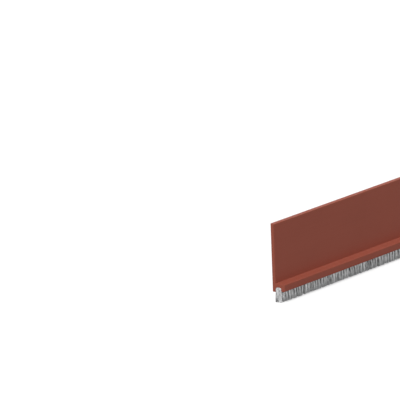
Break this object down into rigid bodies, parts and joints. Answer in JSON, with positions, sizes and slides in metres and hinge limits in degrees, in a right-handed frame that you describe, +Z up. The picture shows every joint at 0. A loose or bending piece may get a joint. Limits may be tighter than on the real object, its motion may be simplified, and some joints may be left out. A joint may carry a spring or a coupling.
{
  "type": "door bottom brush seal",
  "caption": "Flat plastic carrier strip with a ledge and a slot along its lower edge that hold a short brush, to close the gap under a door.",
  "frame": {"origin": "centre of the tape's outer face, on the door's surface, midway along the strip and midway up the plate", "axes": "+X along the strip, +Y into the door (out of the tape), +Z up; the ledge and the lip point to -Y and the bristles hang to -Z"},
  "size_m": [1, 0.0085, 0.0447],
  "materials": {
    "carrier_plastic": "satin",
    "channel_steel": "satin",
    "wire_steel": "satin",
    "bristle_fibre": "matte",
    "tape_adhesive": "satin"
  },
  "bodies": {
    "root": {"carrier_profile": "carrier_plastic", "brush_channel": "channel_steel", "core_wire": "wire_steel", "bristles": "bristle_fibre", "adhesive_tape": "tape_adhesive"}
  },
  "joints": []
}
